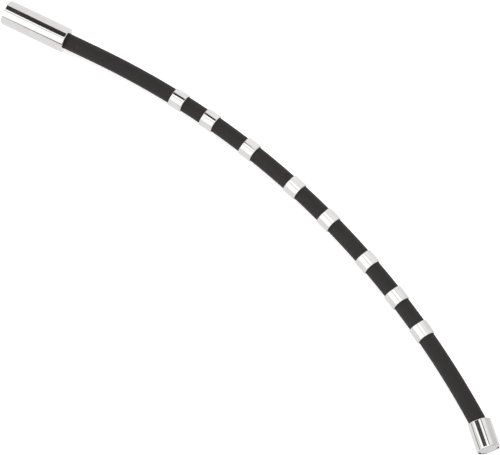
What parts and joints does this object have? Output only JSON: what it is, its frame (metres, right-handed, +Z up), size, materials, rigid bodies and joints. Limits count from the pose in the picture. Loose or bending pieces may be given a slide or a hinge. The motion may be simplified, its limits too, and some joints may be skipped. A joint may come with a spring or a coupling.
{
  "type": "rubber cord bracelet",
  "caption": "Black rubber cord bracelet with spaced polished steel rings and a magnetic plug-in tube clasp, lying open in a gentle arc.",
  "frame": {"origin": "middle of the open bracelet's footprint, on the surface it lies on", "axes": "+Z up from that surface; +X along the clasp sleeve towards the cord; the cord's arc turns towards -Y"},
  "size_m": [0.1882, 0.0704, 0.008],
  "materials": {
    "polished_steel": "mirror polished stainless steel with fine wiping marks",
    "black_rubber": "matt, smooth extruded rubber",
    "nickel_plate": "satin nickel plating on a disc magnet"
  },
  "bodies": {
    "sleeve_half": {"clasp_sleeve": "polished_steel", "socket_magnet": "nickel_plate", "cord_link_01": "black_rubber"},
    "link_02": {"cord_link_02": "black_rubber"},
    "link_03": {"cord_link_03": "black_rubber"},
    "ring_1_link": {"ring_1": "polished_steel", "cord_link_04": "black_rubber"},
    "ring_2_link": {"ring_2": "polished_steel", "cord_link_05": "black_rubber"},
    "ring_3_link": {"ring_3": "polished_steel", "cord_link_06": "black_rubber"},
    "ring_4_link": {"ring_4": "polished_steel", "cord_link_07": "black_rubber"},
    "ring_5_link": {"ring_5": "polished_steel", "cord_link_08": "black_rubber"},
    "ring_6_link": {"ring_6": "polished_steel", "cord_link_09": "black_rubber"},
    "ring_7_link": {"ring_7": "polished_steel", "cord_link_10": "black_rubber"},
    "ring_8_link": {"ring_8": "polished_steel", "cord_link_11": "black_rubber"},
    "link_12": {"cord_link_12": "black_rubber"},
    "plug_half": {"clasp_plug": "polished_steel", "plug_magnet": "nickel_plate", "cord_link_13": "black_rubber"}
  },
  "joints": [
    {"name": "bend_01", "type": "hinge", "parent": "sleeve_half", "child": "link_02", "pos_m": [-0.06704, 0.03116, 0.004], "axis": [0, 0, -1], "range_deg": [-5.33, 31.37], "stiffness_Nm_per_rad": 0.11, "deforming": ["cord_link_01"]},
    {"name": "bend_02", "type": "hinge", "parent": "link_02", "child": "link_03", "pos_m": [-0.05456, 0.03099, 0.004], "axis": [0, 0, -1], "range_deg": [-5.17, 30.43], "deforming": ["cord_link_02"]},
    {"name": "bend_03", "type": "hinge", "parent": "link_03", "child": "ring_1_link", "pos_m": [-0.04211, 0.03013, 0.004], "axis": [0, 0, -1], "range_deg": [-4.91, 28.9], "deforming": ["cord_link_03"]},
    {"name": "bend_04", "type": "hinge", "parent": "ring_1_link", "child": "ring_2_link", "pos_m": [-0.02791, 0.02828, 0.004], "axis": [0, 0, -1], "range_deg": [-2.61, 15.36], "deforming": ["cord_link_04"]},
    {"name": "bend_05", "type": "hinge", "parent": "ring_2_link", "child": "ring_3_link", "pos_m": [-0.01467, 0.02567, 0.004], "axis": [0, 0, -1], "range_deg": [-3.7, 21.73], "deforming": ["cord_link_05"]},
    {"name": "bend_06", "type": "hinge", "parent": "ring_3_link", "child": "ring_4_link", "pos_m": [0.0016, 0.02129, 0.004], "axis": [0, 0, -1], "range_deg": [-4.45, 26.17], "deforming": ["cord_link_06"]},
    {"name": "bend_07", "type": "hinge", "parent": "ring_4_link", "child": "ring_5_link", "pos_m": [0.01706, 0.01582, 0.004], "axis": [0, 0, -1], "range_deg": [-3.19, 18.77], "deforming": ["cord_link_07"]},
    {"name": "bend_08", "type": "hinge", "parent": "ring_5_link", "child": "ring_6_link", "pos_m": [0.03162, 0.00946, 0.004], "axis": [0, 0, -1], "range_deg": [-4.34, 25.53], "deforming": ["cord_link_08"]},
    {"name": "bend_09", "type": "hinge", "parent": "ring_6_link", "child": "ring_7_link", "pos_m": [0.04549, 0.00226, 0.004], "axis": [0, 0, -1], "range_deg": [-3.44, 20.24], "deforming": ["cord_link_09"]},
    {"name": "bend_10", "type": "hinge", "parent": "ring_7_link", "child": "ring_8_link", "pos_m": [0.0568, -0.00454, 0.004], "axis": [0, 0, -1], "range_deg": [-3.14, 18.46], "deforming": ["cord_link_10"]},
    {"name": "bend_11", "type": "hinge", "parent": "ring_8_link", "child": "link_12", "pos_m": [0.06964, -0.01339, 0.004], "axis": [0, 0, -1], "range_deg": [-5.93, 34.89], "deforming": ["cord_link_11"]},
    {"name": "bend_12", "type": "hinge", "parent": "link_12", "child": "plug_half", "pos_m": [0.0808, -0.02217, 0.004], "axis": [0, 0, -1], "range_deg": [-6.1, 35.85], "deforming": ["cord_link_12", "cord_link_13"]}
  ],
  "couplings": [
    {"joint": "bend_02", "follows": "bend_01", "ratio": 0.9699},
    {"joint": "bend_03", "follows": "bend_01", "ratio": 0.9211},
    {"joint": "bend_04", "follows": "bend_01", "ratio": 0.4895},
    {"joint": "bend_05", "follows": "bend_01", "ratio": 0.6926},
    {"joint": "bend_06", "follows": "bend_01", "ratio": 0.834},
    {"joint": "bend_07", "follows": "bend_01", "ratio": 0.5983},
    {"joint": "bend_08", "follows": "bend_01", "ratio": 0.8138},
    {"joint": "bend_09", "follows": "bend_01", "ratio": 0.645},
    {"joint": "bend_10", "follows": "bend_01", "ratio": 0.5883},
    {"joint": "bend_11", "follows": "bend_01", "ratio": 1.1119},
    {"joint": "bend_12", "follows": "bend_01", "ratio": 1.1428}
  ]
}
